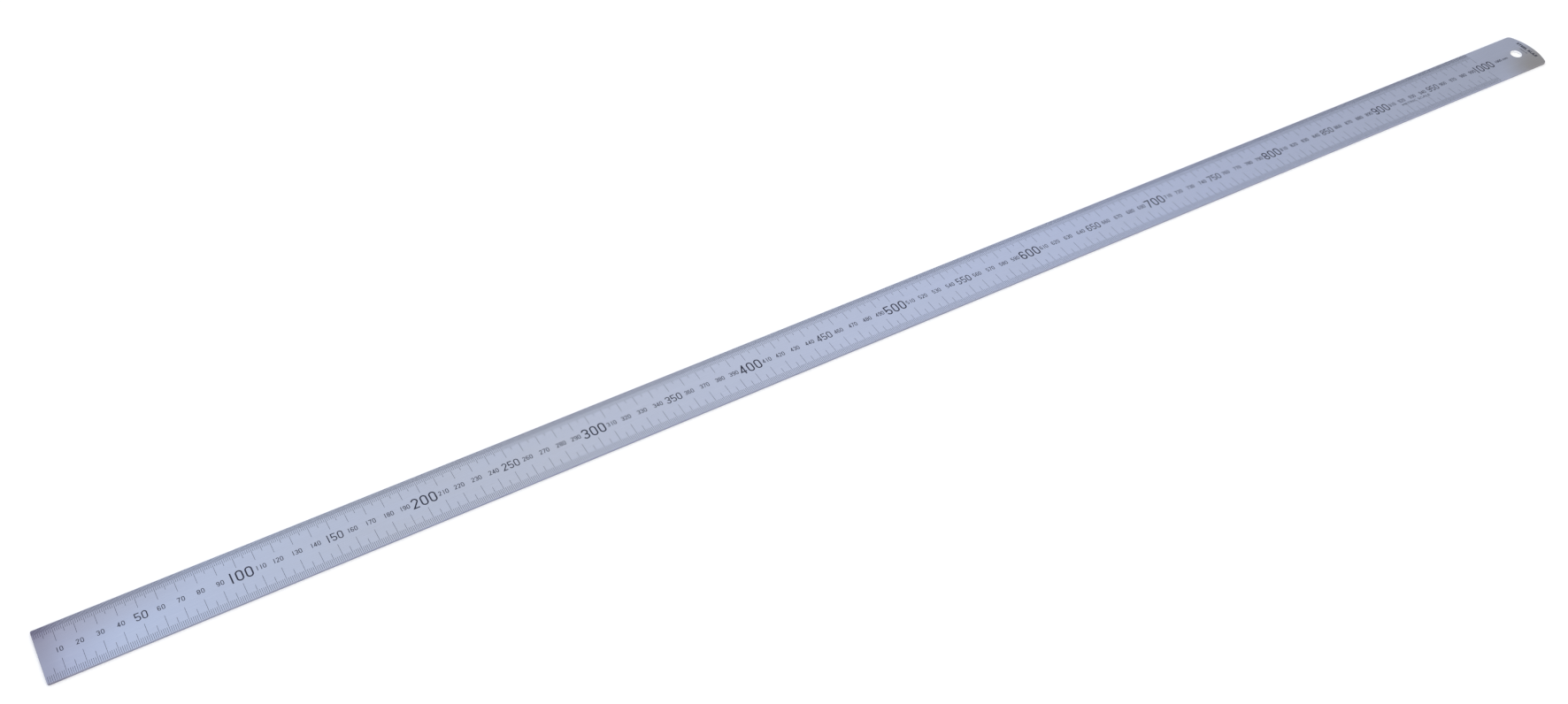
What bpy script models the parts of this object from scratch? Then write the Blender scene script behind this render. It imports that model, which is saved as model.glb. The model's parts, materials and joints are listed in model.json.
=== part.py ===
"""One-metre steel ruler: a satin steel blade with etched marks and black-filled numerals.

Metres, +Z up. The ruler lies on its back on Z = 0 with its graduated face up, and the origin is
under the middle of the blade. +X runs from the zero end to the end with the hanging hole. +Y runs
from the edge with the millimetre scale to the edge that also has half millimetres.
"""

import math

import bmesh
import bpy
from mathutils import Vector

MM = 0.001

# Blade
LENGTH = 1050 * MM
WIDTH = 35 * MM
THICKNESS = 1.5 * MM
ZERO_CORNER_RADIUS = 1 * MM
END_RADIUS = 35 * MM
END_CORNER_RADIUS = 3.5 * MM
EDGE_BREAK = 0.15 * MM
HOLE_RADIUS = 4 * MM
HOLE_FROM_TIP = 16 * MM
HOLE_SIDES = 48
BAY = 50 * MM  # the blade's flat faces are divided this often along its length

# Scales: the zero mark is the square end itself
SCALE_LENGTH = 1000 * MM
MARK_STEP = 10 * MM
MARK_LENGTH = 11.9 * MM
MARK_WIDTH = 0.12 * MM
ETCH_DEPTH = 0.08 * MM

# Numerals at each 100 mm, centred on the blade
LABEL_STEP = 100 * MM
NUMERAL_HEIGHT = 7 * MM
NUMERAL_WIDTH = 3.85 * MM
NUMERAL_STROKE = 0.78 * MM
NUMERAL_PITCH = 5 * MM
FILL_GAP = 0.02 * MM
FILL_DEPTH = 0.005 * MM  # the fill's face lies this far below the blade's
ARC_STEP = math.radians(15)

NUMERAL_SOLVER = "MANIFOLD"  # EXACT leaves open edges between shapes as small as these

CUT_CLEARANCE = 1 * MM  # how far a cutter stands out of the surface it cuts
SHARP_ANGLE = math.radians(40)
PLACES = {3: ("hundreds", "tens", "units"), 4: ("thousands", "hundreds", "tens", "units")}


def clear_scene():
    for obj in list(bpy.data.objects):
        bpy.data.objects.remove(obj, do_unlink=True)


def material(name, colour, roughness, metallic):
    made = bpy.data.materials.new(name)
    made.use_nodes = True
    shader = made.node_tree.nodes["Principled BSDF"]
    shader.inputs["Base Color"].default_value = (*colour, 1)
    shader.inputs["Roughness"].default_value = roughness
    shader.inputs["Metallic"].default_value = metallic
    made.diffuse_color = (*colour, 1)
    return made


def arc(centre, radius, start, end, step=ARC_STEP):
    """Points along an arc from one angle to another, in degrees, in either direction."""
    start, end = math.radians(start), math.radians(end)
    count = max(1, math.ceil(abs(end - start) / step - 1e-6))
    turns = [start + (end - start) * i / count for i in range(count + 1)]
    return [Vector((centre[0] + radius * math.cos(t), centre[1] + radius * math.sin(t))) for t in turns]


def mesh_from(build, name):
    """A mesh from a function that fills a bmesh with closed bodies."""
    bm = bmesh.new()
    build(bm)
    bmesh.ops.recalc_face_normals(bm, faces=bm.faces)
    mesh = bpy.data.meshes.new(name)
    bm.to_mesh(mesh)
    bm.free()
    return mesh


def add_object(name, mesh, is_cutter=False):
    obj = bpy.data.objects.new(name, mesh)
    bpy.context.scene.collection.objects.link(obj)
    if is_cutter:
        obj.hide_render = True
        obj.display_type = "WIRE"
    return obj


def add_boolean(obj, cutter, operation="DIFFERENCE", solver="EXACT"):
    modifier = obj.modifiers.new(f"{operation.lower()}_{cutter.name}", "BOOLEAN")
    modifier.operation = operation
    modifier.solver = solver
    modifier.object = cutter


def extrude_outline(bm, outline, low, high):
    """A closed prism: the outline's face at low, carried up to high."""
    face = bm.faces.new([bm.verts.new((point.x, point.y, low)) for point in outline])
    raised = bmesh.ops.extrude_face_region(bm, geom=[face])["geom"]
    verts = [item for item in raised if isinstance(item, bmesh.types.BMVert)]
    bmesh.ops.translate(bm, verts=verts, vec=(0, 0, high - low))


# ---- Numerals: each is drawn as strokes of one width, in a cell centred on X = 0 with its foot
# ---- on Y = 0. A stroke is a line of points and whether it closes on itself.


def side_of(first, second):
    along = (second - first).normalized()
    return Vector((-along.y, along.x))


def offset_path(path, distance, closed):
    """The path moved sideways by the distance, with mitred corners."""
    moved = []
    last = len(path) - 1
    for i, point in enumerate(path):
        sides = []
        if closed or i > 0:
            sides.append(side_of(path[i - 1], point))
        if closed or i < last:
            sides.append(side_of(point, path[(i + 1) % len(path)]))
        total = sum(sides, Vector((0, 0)))
        moved.append(point + total * (distance * len(sides) / total.length_squared))
    return moved


def add_stroke(bm, path, width, closed, low, high):
    """A closed body of the stroke's width along the path, between two heights."""
    left = offset_path(path, width / 2, closed)
    right = offset_path(path, -width / 2, closed)
    rails = []
    for side, height in ((left, low), (right, low), (right, high), (left, high)):
        rails.append([bm.verts.new((point.x, point.y, height)) for point in side])
    count = len(path)
    for i in range(count if closed else count - 1):
        j = (i + 1) % count
        for one, other in zip(rails, rails[1:] + rails[:1]):
            bm.faces.new((one[i], other[i], other[j], one[j]))
    if not closed:
        for end in (0, count - 1):
            bm.faces.new([rail[end] for rail in rails])


def stretched(path, extra):
    """An open path made longer by extra at each end."""
    head = path[0] + (path[0] - path[1]).normalized() * extra
    tail = path[-1] + (path[-1] - path[-2]).normalized() * extra
    return [head, *path[1:-1], tail]


def numeral_strokes(digit):
    """The numeral's centre lines: straight strokes and bowls of one radius, like a drawing template's."""
    half = NUMERAL_STROKE / 2
    radius = NUMERAL_WIDTH / 2 - half
    foot, head = half, NUMERAL_HEIGHT - half
    middle = NUMERAL_HEIGHT / 2
    low_bowl, high_bowl = (0, foot + radius), (0, head - radius)
    bowl_head = 0.61 * NUMERAL_HEIGHT - half  # top of the one tall bowl in a 5, a 6 and a 9
    tall_bowl = (0, bowl_head - radius)
    stem = 0.11 * NUMERAL_HEIGHT  # how far right of centre a 1 and the upright of a 4 stand

    def at(x, y):
        return Vector((x, y))

    if digit == "0":
        return [(arc(high_bowl, radius, 0, 180) + arc(low_bowl, radius, 180, 360), True)]
    if digit == "1":
        return [([at(stem, 0), at(stem, NUMERAL_HEIGHT)], False)]
    if digit == "2":
        return [(arc(high_bowl, radius, 170, -30) + [at(-radius, foot), at(radius, foot)], False)]
    if digit == "3":
        spur = at(-0.07 * NUMERAL_HEIGHT, middle)
        upper = arc((0, (head + middle) / 2), (head - middle) / 2, 165, -90)
        lower = arc((0, (foot + middle) / 2), (middle - foot) / 2, 90, -165)
        return [(upper + [spur], False), ([spur] + lower, False)]
    if digit == "4":
        bar = 0.27 * NUMERAL_HEIGHT
        slope = [at(stem, head), at(-radius, bar), at(NUMERAL_WIDTH / 2, bar)]
        return [([at(stem, 0), at(stem, NUMERAL_HEIGHT)], False), (slope, False)]
    if digit == "5":
        flag = [at(radius, head), at(-radius, head), at(-radius, tall_bowl[1] + 0.45 * radius)]
        bowl = arc(tall_bowl, radius, 140, 0) + arc(low_bowl, radius, 0, -160)
        return [(flag + bowl, False)]
    if digit == "6":
        bowl = arc(tall_bowl, radius, 0, 180) + arc(low_bowl, radius, 180, 360)
        stalk = [at(-radius, low_bowl[1])] + arc(high_bowl, radius, 180, 20)
        return [(bowl, True), (stalk, False)]
    if digit == "7":
        return [([at(-NUMERAL_WIDTH / 2, head), at(radius, head), at(-0.1 * NUMERAL_HEIGHT, 0)], False)]
    if digit == "8":
        # The two bowls share a little more than one stroke at the waist.
        shared = 0.05 * NUMERAL_STROKE
        bowl = (head - middle + shared) / 2
        upper = arc((0, head - bowl), bowl, 0, 360)[:-1]
        lower = arc((0, foot + bowl), bowl, 0, 360)[:-1]
        return [(upper, True), (lower, True)]
    turned = []  # a 9 is a 6 turned half round
    for path, closed in numeral_strokes("6"):
        turned.append(([at(-point.x, NUMERAL_HEIGHT - point.y) for point in path], closed))
    return turned


def numeral_mesh(digit, grow, low, high):
    """One closed body for the numeral, its outline grown by grow, between two heights."""
    pieces = []
    for number, (path, closed) in enumerate(numeral_strokes(digit)):
        line = path if closed else stretched(path, grow)
        width = NUMERAL_STROKE + 2 * grow
        mesh = mesh_from(lambda bm: add_stroke(bm, line, width, closed, low, high), f"stroke_{number}")
        pieces.append(add_object(f"stroke_{digit}_{number}", mesh))
    whole = pieces[0]
    for other in pieces[1:]:
        add_boolean(whole, other, "UNION", NUMERAL_SOLVER)
    graph = bpy.context.evaluated_depsgraph_get()
    mesh = bpy.data.meshes.new_from_object(whole.evaluated_get(graph))
    mesh.name = f"numeral_{digit}"
    for piece in pieces:
        bpy.data.objects.remove(piece, do_unlink=True)
    return mesh


def numeral_places():
    """Each large numeral as its label, its place in the number, its digit and its cell's centre."""
    for label in range(1, round(SCALE_LENGTH / LABEL_STEP) + 1):
        text = str(round(label * LABEL_STEP / MM))
        centre = label * LABEL_STEP - LENGTH / 2
        for i, digit in enumerate(text):
            x = centre + (i - (len(text) - 1) / 2) * NUMERAL_PITCH
            yield text, PLACES[len(text)][i], digit, Vector((x, -NUMERAL_HEIGHT / 2, 0))


# ---- The blade


def blade_outline():
    """The blade seen from above, counter-clockwise: two corners, the rounded end, two corners."""
    half_length, half_width = LENGTH / 2, WIDTH / 2
    end_centre = half_length - END_RADIUS
    # The fillets touch both the long edges and the end's arc from inside.
    fillet_y = half_width - END_CORNER_RADIUS
    fillet_x = end_centre + math.sqrt((END_RADIUS - END_CORNER_RADIUS) ** 2 - fillet_y**2)
    meet = math.degrees(math.atan2(fillet_y, fillet_x - end_centre))
    zero_x, zero_y = ZERO_CORNER_RADIUS - half_length, half_width - ZERO_CORNER_RADIUS
    end_step = math.radians(2.5)
    return (
        arc((fillet_x, -fillet_y), END_CORNER_RADIUS, -90, -meet)[:-1]
        + arc((end_centre, 0), END_RADIUS, -meet, meet, end_step)[:-1]
        + arc((fillet_x, fillet_y), END_CORNER_RADIUS, meet, 90)
        + arc((zero_x, zero_y), ZERO_CORNER_RADIUS, 90, 180)
        + arc((zero_x, -zero_y), ZERO_CORNER_RADIUS, 180, 270)
    )


def fill_blade(bm):
    extrude_outline(bm, blade_outline(), 0, THICKNESS)
    for bay in range(1, round(SCALE_LENGTH / BAY) + 1):
        x = bay * BAY - MARK_STEP / 2 - LENGTH / 2
        everything = [*bm.verts, *bm.edges, *bm.faces]
        bmesh.ops.bisect_plane(bm, geom=everything, plane_co=(x, 0, 0), plane_no=(1, 0, 0), dist=1e-7)


def fill_hole_cutter(bm):
    hole_x = LENGTH / 2 - HOLE_FROM_TIP
    rim = arc((hole_x, 0), HOLE_RADIUS, 0, 360, math.tau / HOLE_SIDES)[:-1]
    extrude_outline(bm, rim, -CUT_CLEARANCE, THICKNESS + CUT_CLEARANCE)


def fill_mark_cutters(bm):
    """A shallow slot for each 10 mm mark, running in from both long edges."""
    for mark in range(1, round(SCALE_LENGTH / MARK_STEP) + 1):
        x = mark * MARK_STEP - LENGTH / 2
        for edge in (-1, 1):
            outer = edge * (WIDTH / 2 + CUT_CLEARANCE)
            inner = edge * (WIDTH / 2 - MARK_LENGTH)
            sides = (x - MARK_WIDTH / 2, x + MARK_WIDTH / 2)
            corners = [Vector((sides[0], outer)), Vector((sides[1], outer))]
            corners += [Vector((sides[1], inner)), Vector((sides[0], inner))]
            extrude_outline(bm, corners, THICKNESS - ETCH_DEPTH, THICKNESS + CUT_CLEARANCE)


def add_numerals(black):
    """The black fill of the large numerals, and one cutter for the recesses that hold it."""
    recesses = bmesh.new()
    fills = {}
    for text, place, digit, corner in numeral_places():
        if digit not in fills:
            low, high = THICKNESS - ETCH_DEPTH, THICKNESS + CUT_CLEARANCE
            recess = numeral_mesh(digit, FILL_GAP, low, high)
            fill = numeral_mesh(digit, 0, low + FILL_GAP, THICKNESS - FILL_DEPTH)
            fill.materials.append(black)
            fill.set_sharp_from_angle(angle=SHARP_ANGLE)
            fills[digit] = (fill, recess)
        fill, recess = fills[digit]
        add_object(f"numeral_{text}_{place}", fill).location = corner
        known = len(recesses.verts)
        recesses.from_mesh(recess)
        bmesh.ops.translate(recesses, verts=recesses.verts[known:], vec=corner)
        recesses.verts.ensure_lookup_table()
    mesh = bpy.data.meshes.new("numeral_recesses")
    recesses.to_mesh(mesh)
    recesses.free()
    return add_object("numeral_recesses", mesh, is_cutter=True)


def add_blade(steel, recess_cutter):
    """The blade: outline, hanging hole and broken edges, then everything that is etched into its face."""
    blade = add_object("blade", mesh_from(fill_blade, "blade"))
    blade.data.materials.append(steel)
    blade.data.shade_smooth()
    blade.data.set_sharp_from_angle(angle=SHARP_ANGLE)
    add_boolean(blade, add_object("hanging_hole", mesh_from(fill_hole_cutter, "hole"), is_cutter=True))
    edge_break = blade.modifiers.new("edge_break", "BEVEL")
    edge_break.width = EDGE_BREAK
    edge_break.segments = 1
    edge_break.limit_method = "ANGLE"
    edge_break.angle_limit = math.radians(60)
    add_boolean(blade, add_object("mark_slots", mesh_from(fill_mark_cutters, "marks"), is_cutter=True))
    add_boolean(blade, recess_cutter, solver=NUMERAL_SOLVER)


clear_scene()
satin_steel = material("satin_steel", (0.60, 0.62, 0.66), roughness=0.35, metallic=1)
black_enamel = material("black_enamel", (0.02, 0.02, 0.024), roughness=0.6, metallic=0)
add_blade(satin_steel, add_numerals(black_enamel))
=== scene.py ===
"""Looks of the one-metre steel ruler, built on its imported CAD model.

The blade and its large numerals are the CAD solids with detailed materials. The graduations, the
smaller numerals and the small lettering are thin bodies of black enamel set into the steel, and
they are laid out from the blade's own box: +X runs from the zero end to the hanging hole, and +Y
from the edge with the 1 mm scale to the edge that also has half millimetres.
"""

import json
import math

import bmesh
import bpy
from mathutils import Matrix, Vector


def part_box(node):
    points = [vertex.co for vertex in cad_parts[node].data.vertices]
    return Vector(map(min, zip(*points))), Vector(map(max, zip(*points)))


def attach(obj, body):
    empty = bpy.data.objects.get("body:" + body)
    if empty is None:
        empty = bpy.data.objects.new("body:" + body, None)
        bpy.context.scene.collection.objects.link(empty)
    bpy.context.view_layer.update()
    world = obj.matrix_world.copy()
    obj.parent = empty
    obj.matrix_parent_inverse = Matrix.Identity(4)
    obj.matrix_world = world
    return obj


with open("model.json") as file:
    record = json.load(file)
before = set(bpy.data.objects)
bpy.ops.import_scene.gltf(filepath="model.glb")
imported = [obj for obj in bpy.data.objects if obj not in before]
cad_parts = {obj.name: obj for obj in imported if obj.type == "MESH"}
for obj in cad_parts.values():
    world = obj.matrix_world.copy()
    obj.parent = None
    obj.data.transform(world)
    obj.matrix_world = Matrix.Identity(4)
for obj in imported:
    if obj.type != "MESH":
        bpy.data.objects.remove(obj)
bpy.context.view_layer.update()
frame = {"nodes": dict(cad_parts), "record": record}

MM = 0.001
BLADE_LOW, BLADE_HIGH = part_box("blade")
ZERO_X = BLADE_LOW.x
NEAR_Y, FAR_Y = BLADE_LOW.y, BLADE_HIGH.y
MIDDLE_Y = (NEAR_Y + FAR_Y) / 2
FACE_Z = BLADE_HIGH.z
HOLE_LOW, HOLE_HIGH = (Vector(corner) for corner in frame["record"]["physics"]["openings"][0]["box_m"])
HOLE_X = (HOLE_LOW.x + HOLE_HIGH.x) / 2
EDGE_BREAK = 0.15 * MM  # the chamfer round the blade's face, which the marks stop at

# Enamel: it reaches below the face and stands the thickness of its film above it
ENAMEL_LOW = FACE_Z - 0.05 * MM
ENAMEL_HIGH = FACE_Z + 0.008 * MM

# Graduations, in half-millimetre steps from the zero end
SCALE_STEPS = 2000
STEP = 0.5 * MM
FAR_LENGTHS = {"ten": 11.9 * MM, "five": 7.8 * MM, "one": 5.85 * MM, "half": 3.3 * MM}
NEAR_LENGTHS = {"ten": 11.9 * MM, "five": 7.9 * MM, "one": 4.3 * MM, "half": 0}
MARK_LINE = 0.175 * MM

# Numerals: a digit's height, width and stroke, and how far right of its cell's centre a 1 stands
MEDIUM = {"height": 5.2 * MM, "width": 2.85 * MM, "stroke": 0.58 * MM, "one": 0.45 * MM}
SMALL = {"height": 3.05 * MM, "width": 1.65 * MM, "stroke": 0.39 * MM, "one": 0.2 * MM}
MEDIUM_PITCH = 3.5 * MM
SMALL_PITCH, SMALL_PAIR_PITCH = 2.0 * MM, 2.15 * MM  # with three digits and with two
BESIDE_LARGE = 1.0 * MM  # how far a three-digit label moves away from the large one next to it
ARC_STEP = math.radians(15)

# Small lettering: text, cap height, overall length, how far its outlines are moved out in parts of
# the font's size, centre from the zero end, centre above the near edge, and turn in degrees
LETTERING = {
    "scale_note": ("METRIC SCALE", 2.0 * MM, 26 * MM, 0, 930 * MM, 13.45 * MM, 0),
    "length_note": ("1000 mm", 2.4 * MM, 11.9 * MM, 0.02, 1018.7 * MM, 17.5 * MM, 0),
    "end_note": ("STEEL RULE", 2.4 * MM, 18.5 * MM, 0.045, 1045 * MM, 17.3 * MM, -90),
    "end_note_small": ("GENERAL USE", 1.0 * MM, 7 * MM, 0.015, 1041.5 * MM, 17.5 * MM, -90),
}

# Steel colours: its ground lines, clouding and scratches, the sheared sides and the painted highlight
# on the hole's wall
STEEL_DARK = (0.422, 0.462, 0.580, 1)
STEEL_LIGHT = (0.488, 0.530, 0.652, 1)
STEEL_CLOUD = (0.460, 0.500, 0.610, 1)
STEEL_SCRATCH = (0.60, 0.63, 0.70, 1)
SIDE_DARK = (0.285, 0.307, 0.425, 1)
SIDE_LIGHT = (0.37, 0.398, 0.52, 1)
HOLE_WALL_HIGHLIGHT = (0.92, 0.925, 0.94, 1)

# Steel textures: how many cells of noise there are to a metre along X, Y and Z
FINE_GRAIN = (60, 9000, 9000)
COARSE_GRAIN = (14, 2200, 2200)
CLOUDS = (9, 45, 45)
HANDLING = (22, 60, 60)
SIDE_GRAIN = (90, 90, 9000)

# Scratches: cells to a metre, turn in radians, and the noise at which one starts and is full. Then
# how much of their colour shows, how much smoother they are, and how deep beside the ground lines
SCRATCHES_ALONG = ((45, 5200, 0), 0.16, 0.72, 0.78)
SCRATCHES_ACROSS = ((4300, 60, 0), -0.35, 0.74, 0.80)
SCRATCH_SHOWS, SCRATCH_SMOOTHER, SCRATCH_DEPTH = 0.35, 0.08, 0.8

# Finish: roughness from the lowest to the highest noise, and the height of the steel's relief
FACE_ROUGHNESS = (0.29, 0.37)
HANDLED_ROUGHER = (-0.02, 0.05)  # added to the face's
SIDE_ROUGHNESS = (0.38, 0.52)
ENAMEL_ROUGHNESS = (0.50, 0.70)
ENAMEL_SPECULAR = 0.25
FLOOR_ROUGHNESS = 0.9
RELIEF_STRENGTH, RELIEF_HEIGHT = 0.08, 0.02 * MM

# Painted shade on the steel, where its reflection is darker at the two ends: centre on the face, how
# far drawn out along X, how near the centre it is full, how far away it ends, and its tint
PAINTED_SHADE_PARTS = (
    (ZERO_X, MIDDLE_Y, 0.3, 0, 147 * MM, (0.87, 0.825, 0.84, 1)),  # the zero end
    (ZERO_X, MIDDLE_Y, 0.2, 0, 75 * MM, (0.835, 0.81, 0.80, 1)),  # that end's rim
    (ZERO_X + 20 * MM, FAR_Y, 3, 4 * MM, 27 * MM, (0.86, 0.81, 0.785, 1)),  # the far edge beside it
    (ZERO_X, FAR_Y, 1.6, 0.5 * MM, 11 * MM, (0.80, 0.77, 0.84, 1)),  # the corner between them
    (BLADE_HIGH.x, NEAR_Y, 1.6, 9 * MM, 28 * MM, (0.80, 0.73, 0.60, 1)),  # the tip's near corner
)

# The painted highlight on the hole's wall: its tone is full up to the first distance from the hole's
# centre and gone at the second
HOLE_HIGHLIGHT_REACH = (5 * MM, 7 * MM)

# Enamel and floor: their colours where the noise is low and high, and its cells to a metre
ENAMEL_DARK = (0.009, 0.011, 0.028, 1)
ENAMEL_LIGHT = (0.025, 0.029, 0.055, 1)
ENAMEL_WEAR = (700, 700, 700)
FLOOR_DARK = (0.955, 0.955, 0.95, 1)
FLOOR_LIGHT = (0.975, 0.975, 0.97, 1)
FLOOR_CLOUDS = (1.5, 1.5, 1.5)

# Camera: the point it looks at, its direction in degrees, its distance in metres, its roll in
# degrees, and its sensor and lens in millimetres
TARGET = Vector((-0.1012, 0.0019, 0))
AZIMUTH = 32.4
ELEVATION = 46.12
DISTANCE = 0.9701
ROLL = 2.36
SENSOR = 36
LENS = 38.21

# Floor and lights, in metres and watts
FLOOR_SIZE = 24
SOFTBOX_PLACE, SOFTBOX_AIM = Vector((-0.3, -0.9, 2.2)), Vector((0, 0, 0))
SOFTBOX_SIZE = (2.0, 1.4)
SOFTBOX_POWER = 8
SOFTBOX_COLOUR = (1.0, 0.99, 0.97)
TENT_STRENGTH = 1.375
TENT_WHITE = (0.74, 0.73, 0.725, 1)
TENT_TURN = 0.45  # how far towards +Y a direction points where the far side's colours are full
TENT_FAR_SIDE = (  # how far towards +X a direction points, and the colour of the light from there
    (0.00, (0.75, 0.83, 0.97, 1)),
    (0.12, (0.70, 0.65, 0.55, 1)),
    (0.25, (0.79, 0.76, 0.71, 1)),
    (0.40, (0.78, 0.81, 0.88, 1)),
    (0.54, (0.73, 0.77, 0.90, 1)),
    (0.84, (0.27, 0.24, 0.18, 1)),
)


# ---- Materials


class Nodes:
    """The node tree of a material or a world, with a short way to add nodes and join them."""

    def __init__(self, owner, shader="Principled BSDF"):
        owner.use_nodes = True
        self.owner = owner
        self.tree = owner.node_tree
        self.shader = self.tree.nodes[shader].inputs

    def add(self, kind, settings=None, **inputs):
        node = self.tree.nodes.new(f"ShaderNode{kind}")
        for name, value in (settings or {}).items():
            setattr(node, name, value)
        for name, value in inputs.items():
            self.join(value, node.inputs[name.replace("_", " ")])
        return node

    def join(self, value, socket):
        if isinstance(value, bpy.types.NodeSocket):
            self.tree.links.new(value, socket)
        else:
            socket.default_value = value

    def place(self, stretch, turn=0.0):
        """The part's own metres, turned in the plane of the face and then drawn out."""
        metres = self.add("TexCoord").outputs["Object"]
        turned = self.add("Mapping", Vector=metres, Rotation=(0, 0, turn))
        return self.add("Mapping", Vector=turned.outputs["Vector"], Scale=stretch).outputs["Vector"]

    def noise(self, stretch, detail, turn=0.0):
        made = self.add("TexNoise", Vector=self.place(stretch, turn), Scale=1.0, Detail=detail)
        return made.outputs["Fac"]

    def range(self, value, low, high, start=0.3, end=0.7, smooth=False):
        """Low where the value is at start or before it, high at end or past it."""
        settings = {"interpolation_type": "SMOOTHSTEP"} if smooth else None
        made = self.add("MapRange", settings, Value=value, From_Min=start, From_Max=end)
        self.join(low, made.inputs["To Min"])
        self.join(high, made.inputs["To Max"])
        return made.outputs["Result"]

    def near(self, x, y, stretch, full, reach):
        """1 within full of a point on the face and 0 past reach, drawn out along X by stretch."""
        scaled = self.place((1 / stretch, 1, 0))
        apart = self.add("VectorMath", {"operation": "DISTANCE"})
        self.join(scaled, apart.inputs[0])
        self.join((x / stretch, y, 0), apart.inputs[1])
        return self.range(apart.outputs["Value"], 1.0, 0.0, full, reach, smooth=True)

    def math(self, operation, first, second):
        made = self.add("Math", {"operation": operation})
        self.join(first, made.inputs[0])
        self.join(second, made.inputs[1])
        return made.outputs[0]

    def mix(self, factor, first, second, blend="MIX"):
        made = self.add("MixRGB", {"blend_type": blend}, Fac=factor, Color1=first, Color2=second)
        return made.outputs["Color"]

    def blend(self, factor, first, second):
        """A number between two others."""
        made = self.add("Mix", {"data_type": "FLOAT"}, Factor=factor, A=first, B=second)
        return made.outputs["Result"]

    def face_part(self):
        """0 on the sides, 1 on the flat faces and in between on the broken edges."""
        normal = self.add("SeparateXYZ", Vector=self.add("NewGeometry").outputs["Normal"]).outputs["Z"]
        return self.range(self.math("ABSOLUTE", normal, 0.0), 0.0, 1.0, 0.35, 0.85)


def scratches(nodes, stretch, turn, start, full):
    """0 on whole steel and 1 along a scratch."""
    return nodes.range(nodes.noise(stretch, 1.0, turn), 0.0, 1.0, start, full)


def satin_steel():
    nodes = Nodes(bpy.data.materials.new("satin_steel_ground"))
    grain = nodes.noise(FINE_GRAIN, detail=4.0)
    coarse = nodes.noise(COARSE_GRAIN, detail=2.0)
    broad = nodes.noise(CLOUDS, detail=2.0)
    handled = nodes.noise(HANDLING, detail=5.0)
    side_grain = nodes.noise(SIDE_GRAIN, detail=3.0)
    along, across = scratches(nodes, *SCRATCHES_ALONG), scratches(nodes, *SCRATCHES_ACROSS)
    scratched = nodes.math("MAXIMUM", along, across)
    flat = nodes.face_part()

    # Colour: ground lines and slow clouding on the faces, darker sides with lines along the edge,
    # and painted shade on both of them at the two ends, where the steel's reflection is darker
    face = nodes.mix(nodes.range(grain, 0.0, 1.0), STEEL_DARK, STEEL_LIGHT)
    face = nodes.mix(nodes.range(coarse, 0.0, 0.35), face, STEEL_DARK)
    face = nodes.mix(nodes.range(broad, 0.0, 0.5), face, STEEL_CLOUD)
    face = nodes.mix(nodes.math("MULTIPLY", scratched, SCRATCH_SHOWS), face, STEEL_SCRATCH)
    side = nodes.mix(nodes.range(side_grain, 0.0, 1.0), SIDE_DARK, SIDE_LIGHT)
    tone = nodes.mix(flat, side, face)
    for *zone, shade_tint in PAINTED_SHADE_PARTS:
        tone = nodes.mix(nodes.near(*zone), tone, shade_tint, "MULTIPLY")

    # Painted highlight: the wall of the hole is painted near white, far brighter than the steel, so it
    # reads as lit
    round_hole = nodes.near(HOLE_X, MIDDLE_Y, 1, *HOLE_HIGHLIGHT_REACH)
    wall_highlight = nodes.math("MULTIPLY", round_hole, nodes.range(flat, 1.0, 0.0, 0.0, 1.0))
    nodes.join(nodes.mix(wall_highlight, tone, HOLE_WALL_HIGHLIGHT), nodes.shader["Base Color"])
    nodes.join(1.0, nodes.shader["Metallic"])

    # Finish: satin faces, smoother in a scratch, and rougher sides
    handled = nodes.range(handled, *HANDLED_ROUGHER)
    satin = nodes.math("ADD", nodes.range(grain, *FACE_ROUGHNESS), handled)
    satin = nodes.math("SUBTRACT", satin, nodes.math("MULTIPLY", scratched, SCRATCH_SMOOTHER))
    sheared = nodes.range(side_grain, *SIDE_ROUGHNESS)
    nodes.join(nodes.blend(flat, sheared, satin), nodes.shader["Roughness"])

    relief = nodes.math("SUBTRACT", grain, nodes.math("MULTIPLY", scratched, SCRATCH_DEPTH))
    height = nodes.blend(flat, side_grain, relief)
    bump = nodes.add("Bump", Height=height, Strength=RELIEF_STRENGTH, Distance=RELIEF_HEIGHT)
    nodes.join(bump.outputs["Normal"], nodes.shader["Normal"])
    return nodes.owner


def black_enamel():
    nodes = Nodes(bpy.data.materials.new("black_enamel_fill"))
    worn = nodes.noise(ENAMEL_WEAR, detail=4.0)
    colour = nodes.mix(nodes.range(worn, 0.0, 1.0), ENAMEL_DARK, ENAMEL_LIGHT)
    nodes.join(colour, nodes.shader["Base Color"])
    nodes.join(nodes.range(worn, *ENAMEL_ROUGHNESS), nodes.shader["Roughness"])
    nodes.join(ENAMEL_SPECULAR, nodes.shader["Specular IOR Level"])
    return nodes.owner


def floor_paint():
    nodes = Nodes(bpy.data.materials.new("pale_floor"))
    cloud = nodes.noise(FLOOR_CLOUDS, detail=2.0)
    colour = nodes.mix(nodes.range(cloud, 0.0, 1.0), FLOOR_DARK, FLOOR_LIGHT)
    nodes.join(colour, nodes.shader["Base Color"])
    nodes.join(FLOOR_ROUGHNESS, nodes.shader["Roughness"])
    return nodes.owner


# ---- Meshes


def mesh_from(build, name):
    """A mesh from a function that fills a bmesh with closed bodies."""
    bm = bmesh.new()
    build(bm)
    bmesh.ops.recalc_face_normals(bm, faces=bm.faces)
    mesh = bpy.data.meshes.new(name)
    bm.to_mesh(mesh)
    bm.free()
    return mesh


def add_object(name, mesh):
    obj = bpy.data.objects.new(name, mesh)
    bpy.context.scene.collection.objects.link(obj)
    return obj


def show_piece(obj, material):
    """Gives a piece its finish and lets it move with the ruler, which is one body."""
    obj.data.materials.clear()
    obj.data.materials.append(material)
    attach(obj, "root")


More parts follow.
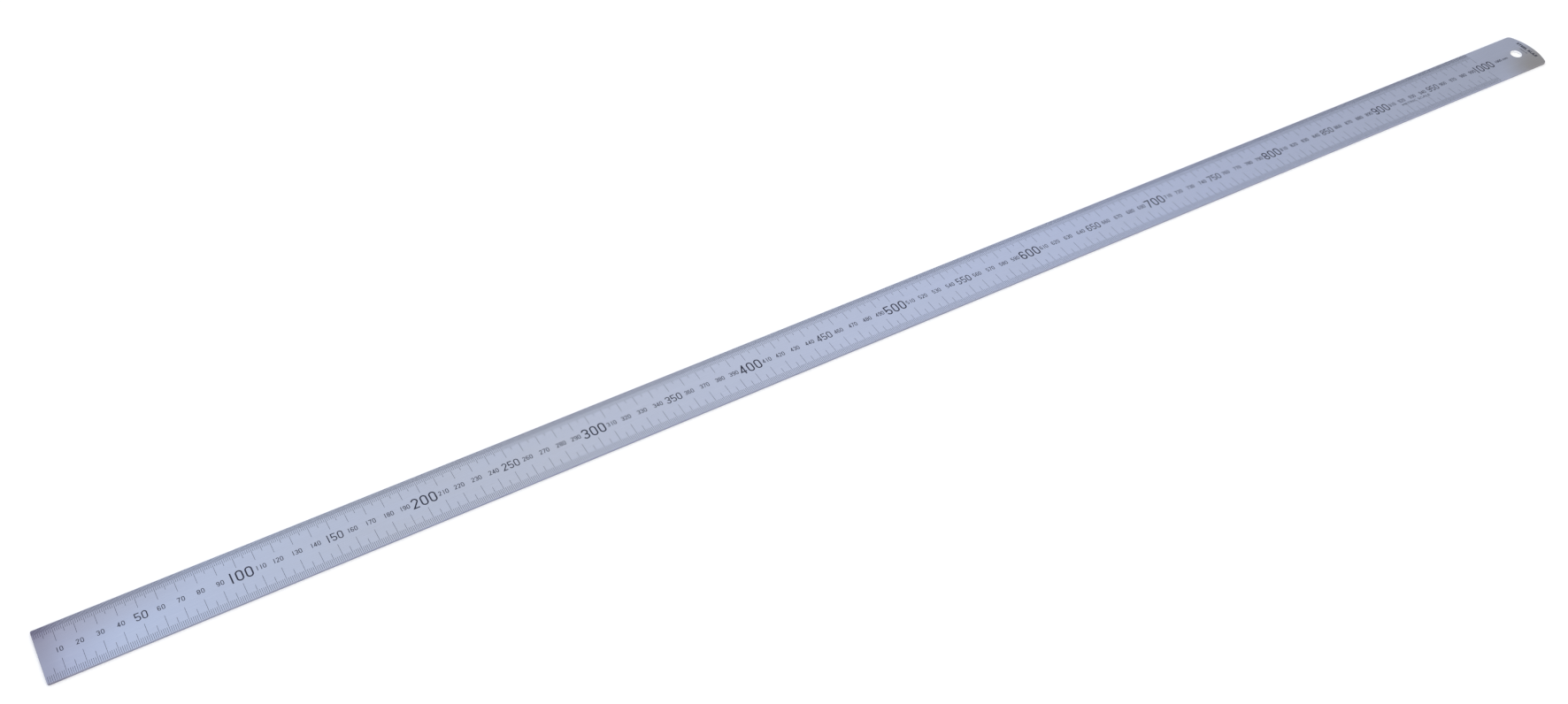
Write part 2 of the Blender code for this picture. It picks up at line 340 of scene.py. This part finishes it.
def arc(centre, radius, start, end):
    """Points along an arc from one angle to another, in degrees, in either direction."""
    start, end = math.radians(start), math.radians(end)
    count = max(1, math.ceil(abs(end - start) / ARC_STEP - 1e-6))
    turns = [start + (end - start) * i / count for i in range(count + 1)]
    return [Vector((centre[0] + radius * math.cos(t), centre[1] + radius * math.sin(t))) for t in turns]


def side_of(first, second):
    along = (second - first).normalized()
    return Vector((-along.y, along.x))


def offset_path(path, distance, closed):
    """The path moved sideways by the distance, with mitred corners."""
    moved = []
    last = len(path) - 1
    for i, point in enumerate(path):
        sides = []
        if closed or i > 0:
            sides.append(side_of(path[i - 1], point))
        if closed or i < last:
            sides.append(side_of(point, path[(i + 1) % len(path)]))
        total = sum(sides, Vector((0, 0)))
        moved.append(point + total * (distance * len(sides) / total.length_squared))
    return moved


def add_stroke(bm, path, width, closed):
    """A closed body of the stroke's width along the path, as deep as the enamel."""
    left = offset_path(path, width / 2, closed)
    right = offset_path(path, -width / 2, closed)
    low, high = ENAMEL_LOW, ENAMEL_HIGH
    rails = []
    for side, height in ((left, low), (right, low), (right, high), (left, high)):
        rails.append([bm.verts.new((point.x, point.y, height)) for point in side])
    count = len(path)
    for i in range(count if closed else count - 1):
        j = (i + 1) % count
        for one, other in zip(rails, rails[1:] + rails[:1]):
            bm.faces.new((one[i], other[i], other[j], one[j]))
    if not closed:
        for end in (0, count - 1):
            bm.faces.new([rail[end] for rail in rails])


# ---- Numerals: strokes of one width, in a cell centred on X = 0 with its foot on Y = 0


def numeral_strokes(digit, size):
    """The numeral's centre lines, each a path and whether it closes on itself."""
    height, width, stroke = size["height"], size["width"], size["stroke"]
    half = stroke / 2
    radius = width / 2 - half
    foot, head, middle = half, height - half, height / 2
    low_bowl, high_bowl = (0, foot + radius), (0, head - radius)
    tall_bowl = (0, 0.61 * height - half - radius)
    stem = 0.11 * height

    def at(x, y):
        return Vector((x, y))

    if digit == "0":
        return [(arc(high_bowl, radius, 0, 180) + arc(low_bowl, radius, 180, 360), True)]
    if digit == "1":
        return [([at(size["one"], 0), at(size["one"], height)], False)]
    if digit == "2":
        return [(arc(high_bowl, radius, 170, -30) + [at(-radius, foot), at(radius, foot)], False)]
    if digit == "3":
        spur = at(-0.07 * height, middle)
        upper = arc((0, (head + middle) / 2), (head - middle) / 2, 165, -90)
        lower = arc((0, (foot + middle) / 2), (middle - foot) / 2, 90, -165)
        return [(upper + [spur], False), ([spur] + lower, False)]
    if digit == "4":
        bar = 0.27 * height
        slope = [at(stem, head), at(-radius, bar), at(width / 2, bar)]
        return [([at(stem, 0), at(stem, height)], False), (slope, False)]
    if digit == "5":
        flag = [at(radius, head), at(-radius, head), at(-radius, tall_bowl[1] + 0.45 * radius)]
        bowl = arc(tall_bowl, radius, 140, 0) + arc(low_bowl, radius, 0, -160)
        return [(flag, False), (bowl, False)]
    if digit == "6":
        bowl = arc(tall_bowl, radius, 0, 180) + arc(low_bowl, radius, 180, 360)
        stalk = [at(-radius, low_bowl[1])] + arc(high_bowl, radius, 180, 20)
        return [(bowl, True), (stalk, False)]
    if digit == "7":
        return [([at(-width / 2, head), at(radius, head), at(-0.1 * height, 0)], False)]
    if digit == "8":
        bowl = (head - middle + 0.05 * stroke) / 2
        upper = arc((0, head - bowl), bowl, 0, 360)[:-1]
        lower = arc((0, foot + bowl), bowl, 0, 360)[:-1]
        return [(upper, True), (lower, True)]
    turned = []  # a 9 is a 6 turned half round
    for path, closed in numeral_strokes("6", size):
        turned.append(([at(-point.x, height - point.y) for point in path], closed))
    return turned


def numeral_mesh(digit, size):
    """One closed body for the numeral, its strokes joined."""
    pieces = []
    for path, closed in numeral_strokes(digit, size):
        mesh = mesh_from(lambda bm: add_stroke(bm, path, size["stroke"], closed), "stroke")
        pieces.append(add_object("stroke", mesh))
    whole = pieces[0]
    for other in pieces[1:]:
        union = whole.modifiers.new("union", "BOOLEAN")
        union.operation, union.solver, union.object = "UNION", "MANIFOLD", other
    graph = bpy.context.evaluated_depsgraph_get()
    mesh = bpy.data.meshes.new_from_object(whole.evaluated_get(graph))
    for piece in pieces:
        bpy.data.objects.remove(piece, do_unlink=True)
    return mesh


def numerals(name, size, labels, material):
    """A piece that holds every numeral of one size. Labels are (value, centre from zero, pitch)."""
    bm = bmesh.new()
    made = {}
    for value, centre, pitch in labels:
        text = str(value)
        for i, digit in enumerate(text):
            if digit not in made:
                made[digit] = numeral_mesh(digit, size)
            x = ZERO_X + centre + (i - (len(text) - 1) / 2) * pitch
            y = MIDDLE_Y - size["height"] / 2
            known = len(bm.verts)
            bm.from_mesh(made[digit])
            bm.verts.ensure_lookup_table()
            bmesh.ops.translate(bm, verts=bm.verts[known:], vec=(x, y, 0))
    mesh = bpy.data.meshes.new(name)
    bm.to_mesh(mesh)
    bm.free()
    show_piece(add_object(name, mesh), material)


def medium_labels():
    for value in range(50, 1000, 100):
        yield value, value * MM, MEDIUM_PITCH


def small_labels():
    """Every 10 mm but the 50s, and three digits next to a large numeral are moved clear of it."""
    for value in range(10, 1000, 10):
        if value % 50 and value < 100:
            yield value, value * MM, SMALL_PAIR_PITCH
        elif value % 50:
            shift = {10: BESIDE_LARGE, 90: -BESIDE_LARGE}.get(value % 100, 0)
            yield value, value * MM + shift, SMALL_PITCH


# ---- Graduations


def mark_length(step, lengths):
    if step % 20 == 0:
        return lengths["ten"]
    if step % 10 == 0:
        return lengths["five"]
    return lengths["one"] if step % 2 == 0 else lengths["half"]


def scale(name, edge_y, inward, lengths, material):
    """All the marks of one scale, each a thin closed body running in from the edge."""

    def fill(bm):
        for step in range(1, SCALE_STEPS + 1):
            length = mark_length(step, lengths)
            if length:
                x = ZERO_X + step * STEP
                outer, inner = edge_y + inward * EDGE_BREAK, edge_y + inward * length
                add_stroke(bm, [Vector((x, outer)), Vector((x, inner))], MARK_LINE, False)

    show_piece(add_object(name, mesh_from(fill, name)), material)


# ---- Small lettering


def lettering(name, text, height, length, bolder, x, y, turn, material):
    """Plain capitals from Blender's own font, as thin bodies like the numerals."""
    curve = bpy.data.curves.new(name, "FONT")
    curve.body = text
    curve.align_x, curve.align_y = "CENTER", "CENTER"
    curve.extrude = (ENAMEL_HIGH - ENAMEL_LOW) / 2
    curve.resolution_u = 3
    curve.offset = bolder
    source = bpy.data.objects.new(f"{name}_curve", curve)
    bpy.context.scene.collection.objects.link(source)
    graph = bpy.context.evaluated_depsgraph_get()
    mesh = bpy.data.meshes.new_from_object(source.evaluated_get(graph))
    bpy.data.objects.remove(source, do_unlink=True)
    low = Vector([min(v.co[i] for v in mesh.vertices) for i in range(3)])
    high = Vector([max(v.co[i] for v in mesh.vertices) for i in range(3)])
    centre = (low + high) / 2
    fit = Matrix.Diagonal((length / (high.x - low.x), height / (high.y - low.y), 1, 1))
    place = Matrix.Translation((ZERO_X + x, NEAR_Y + y, (ENAMEL_LOW + ENAMEL_HIGH) / 2))
    turned = Matrix.Rotation(math.radians(turn), 4, "Z")
    mesh.transform(place @ turned @ fit @ Matrix.Translation(-centre))
    show_piece(add_object(name, mesh), material)


# ---- Stage


def top_softbox():
    light = bpy.data.lights.new("top_softbox", "AREA")
    light.shape = "RECTANGLE"
    light.size, light.size_y = SOFTBOX_SIZE
    light.energy = SOFTBOX_POWER
    light.color = SOFTBOX_COLOUR
    obj = add_object("top_softbox", light)
    obj.location = SOFTBOX_PLACE
    obj.rotation_euler = (SOFTBOX_AIM - SOFTBOX_PLACE).to_track_quat("-Z", "Y").to_euler()


def light_tent():
    """Even white light from all round; on the far side its colour changes from the zero end to +X."""
    world = bpy.data.worlds.new("light_tent")
    bpy.context.scene.world = world
    nodes = Nodes(world, "Background")
    direction = nodes.add("SeparateXYZ", Vector=nodes.add("TexCoord").outputs["Generated"])
    far_side = nodes.range(direction.outputs["Y"], 0.0, 1.0, 0.0, TENT_TURN, smooth=True)
    ramp = nodes.add("ValToRGB", Fac=nodes.range(direction.outputs["X"], 0.0, 1.0, -1.0, 1.0))
    elements = ramp.color_ramp.elements
    while len(elements) < len(TENT_FAR_SIDE):
        elements.new(1)
    for element, (towards_x, colour) in zip(elements, TENT_FAR_SIDE):
        element.position = (towards_x + 1) / 2
        element.color = colour
    nodes.join(nodes.mix(far_side, TENT_WHITE, ramp.outputs["Color"]), nodes.shader["Color"])
    nodes.join(TENT_STRENGTH, nodes.shader["Strength"])


def stage():
    bpy.ops.mesh.primitive_plane_add(size=FLOOR_SIZE, location=(0, 0, 0))
    floor = bpy.context.object
    floor.name = "floor"
    floor.data.materials.append(floor_paint())
    light_tent()
    top_softbox()
    bpy.context.scene.view_settings.view_transform = "Standard"


def camera():
    data = bpy.data.cameras.new("camera")
    data.sensor_width = SENSOR
    data.lens = LENS
    azimuth, elevation = math.radians(AZIMUTH), math.radians(ELEVATION)
    back = Vector((
        -math.sin(azimuth) * math.cos(elevation),
        -math.cos(azimuth) * math.cos(elevation),
        math.sin(elevation),
    ))
    obj = add_object("camera", data)
    turned = (-back).to_track_quat("-Z", "Y").to_matrix() @ Matrix.Rotation(math.radians(ROLL), 3, "Z")
    obj.matrix_world = Matrix.Translation(TARGET + back * DISTANCE) @ turned.to_4x4()
    bpy.context.scene.camera = obj


steel = satin_steel()
enamel = black_enamel()
for node_name, node in frame["nodes"].items():
    node.material_slots[0].material = steel if node_name == "blade" else enamel

scale("far_scale_marks", FAR_Y, -1, FAR_LENGTHS, enamel)
scale("near_scale_marks", NEAR_Y, 1, NEAR_LENGTHS, enamel)
numerals("numerals_small", SMALL, small_labels(), enamel)
numerals("numerals_medium", MEDIUM, medium_labels(), enamel)
for note, details in LETTERING.items():
    lettering(note, *details, enamel)

stage()
camera()
